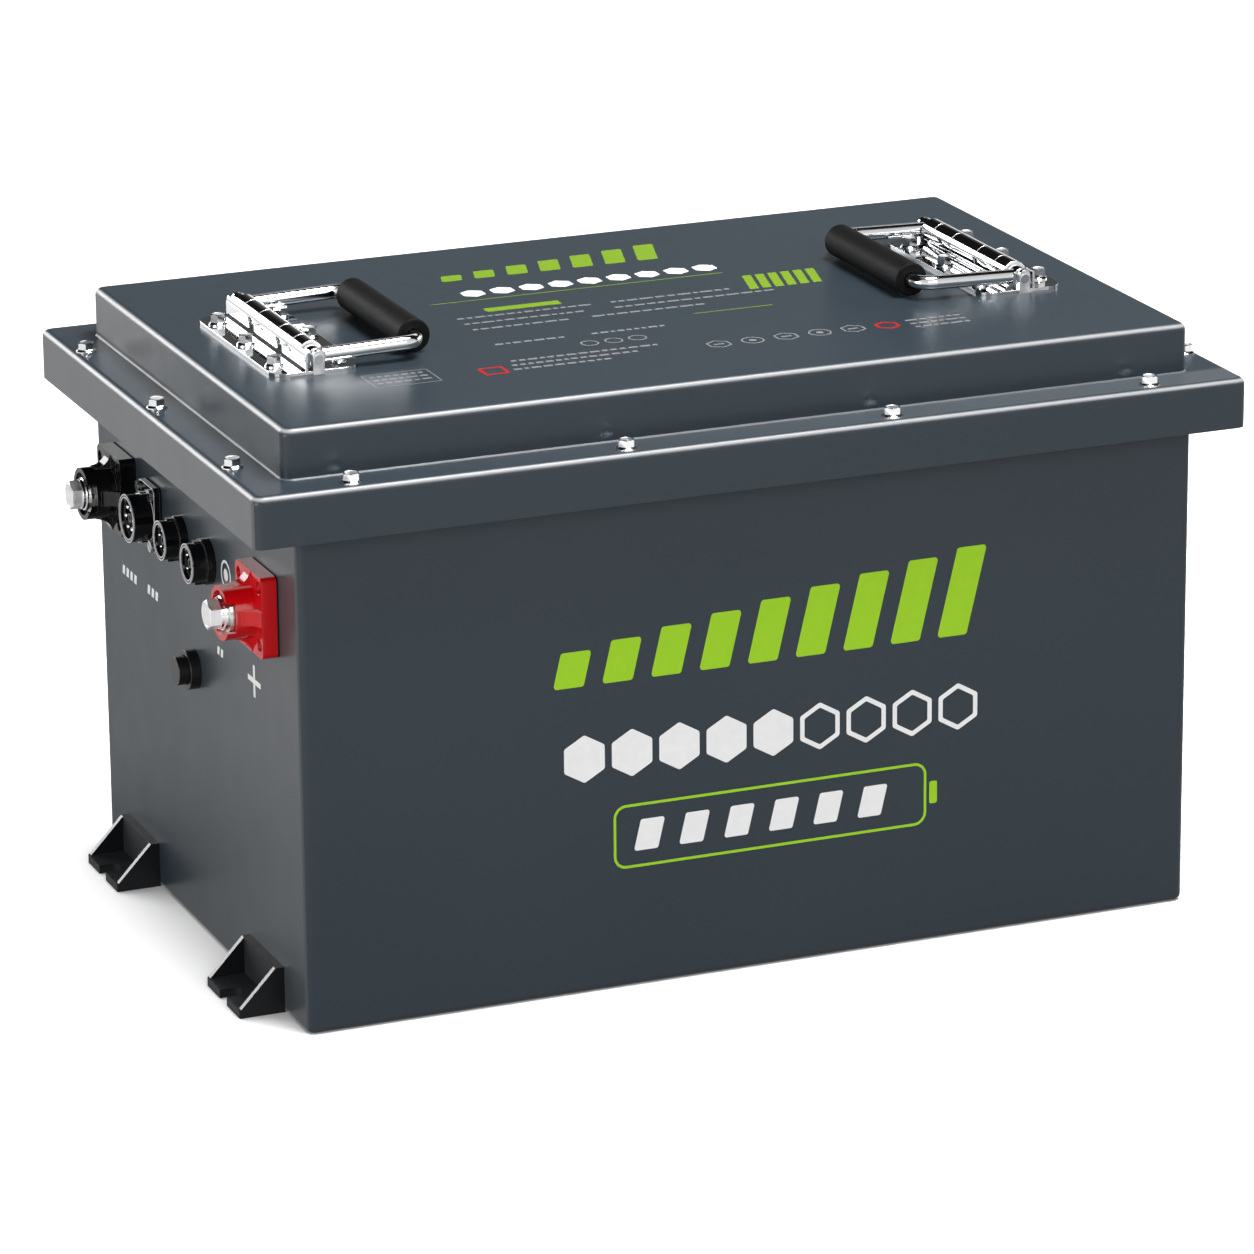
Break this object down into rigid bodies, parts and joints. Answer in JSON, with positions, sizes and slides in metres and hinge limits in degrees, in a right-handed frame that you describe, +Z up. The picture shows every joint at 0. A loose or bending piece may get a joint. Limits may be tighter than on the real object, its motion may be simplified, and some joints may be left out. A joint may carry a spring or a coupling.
{
  "type": "deep cycle battery",
  "caption": "Rechargeable deep cycle battery pack in a folded steel case with a stepped lid, folding spring handles, bolt terminals and round connectors on one end wall.",
  "frame": {"origin": "middle of the tank's footprint, on the plane that the tank stands on", "axes": "+X along the length, away from the terminals; -Y the long side seen beside the positive terminal; +Z up"},
  "size_m": [0.4955, 0.318, 0.3001],
  "materials": {
    "case_paint": "fine satin powder coat, dark slate grey",
    "bright_steel": "bright polished stainless steel",
    "zinc_steel": "plain zinc plated steel",
    "spring_steel": "drawn spring wire",
    "nickel_brass": "turned brass, nickel plated",
    "copper": "flat copper bar",
    "raw_aluminium": "mill finish aluminium",
    "black_plastic": "fine grained moulded plastic, black",
    "dark_plastic": "smooth moulded insert, near black",
    "red_plastic": "glossy moulded plastic, red",
    "black_gloss": "glossy moulded plastic, black",
    "black_rubber": "matt black rubber",
    "foam": "closed cell foam, dark grey",
    "cell_wrap": "blue film wrap",
    "insulation_board": "glass epoxy sheet",
    "board_green": "solder mask on circuit board",
    "red_cable": "cable sheath, red",
    "black_cable": "cable sheath, black"
  },
  "bodies": {
    "case": {"tank": "case_paint", "front_foot": "black_plastic", "rear_foot": "black_plastic", "foot_screws": "zinc_steel", "rim_gasket": "black_rubber", "lid": "case_paint", "lid_bolts": "bright_steel", "rim_nuts": "zinc_steel", "left_handle_plate": "bright_steel", "left_handle_pin": "bright_steel", "left_handle_spring": "spring_steel", "right_handle_plate": "bright_steel", "right_handle_pin": "bright_steel", "right_handle_spring": "spring_steel", "handle_screws": "bright_steel", "handle_nuts": "zinc_steel", "positive_housing": "red_plastic", "positive_conductor": "nickel_brass", "positive_bolt": "bright_steel", "positive_washers": "bright_steel", "negative_housing": "black_gloss", "negative_conductor": "nickel_brass", "negative_bolt": "bright_steel", "negative_washers": "bright_steel", "terminal_gaskets": "black_rubber", "terminal_screws": "bright_steel", "terminal_nuts": "zinc_steel", "charge_shell": "black_plastic", "charge_insert": "dark_plastic", "charge_screws": "zinc_steel", "charge_gasket": "black_rubber", "data_shell": "black_plastic", "data_insert": "dark_plastic", "display_shell": "black_plastic", "display_insert": "dark_plastic", "port_nuts": "zinc_steel", "button_bezel": "black_plastic", "button_spring": "spring_steel", "button_nut": "zinc_steel", "front_cells": "cell_wrap", "rear_cells": "cell_wrap", "cell_divider": "insulation_board", "end_plates": "raw_aluminium", "pack_straps": "zinc_steel", "busbars": "copper", "busbar_nuts": "zinc_steel", "floor_pad": "foam", "top_insulator": "insulation_board", "top_foam": "foam", "bms_board": "board_green", "bms_heatsink": "raw_aluminium", "bms_bracket": "zinc_steel", "positive_cable": "red_cable", "negative_cable": "black_cable"},
    "left_handle": {"left_bail": "bright_steel", "left_grip": "black_rubber"},
    "right_handle": {"right_bail": "bright_steel", "right_grip": "black_rubber"},
    "wake_button": {"button_cap": "black_plastic"}
  },
  "joints": [
    {"name": "left_handle_hinge", "type": "hinge", "parent": "case", "child": "left_handle", "pos_m": [-0.178, 0, 0.2907], "axis": [0, -1, 0], "range_deg": [0, 90], "stiffness_Nm_per_rad": 0.2, "springref_deg": -34.38},
    {"name": "right_handle_hinge", "type": "hinge", "parent": "case", "child": "right_handle", "pos_m": [0.178, 0, 0.2907], "axis": [0, 1, 0], "range_deg": [0, 90], "stiffness_Nm_per_rad": 0.2, "springref_deg": -34.38},
    {"name": "wake_button_press", "type": "slide", "parent": "case", "child": "wake_button", "axis": [1, 0, 0], "range_m": [0, 0.002], "stiffness_N_per_m": 800, "springref_m": -0.002, "deforming": ["button_spring"]}
  ]
}
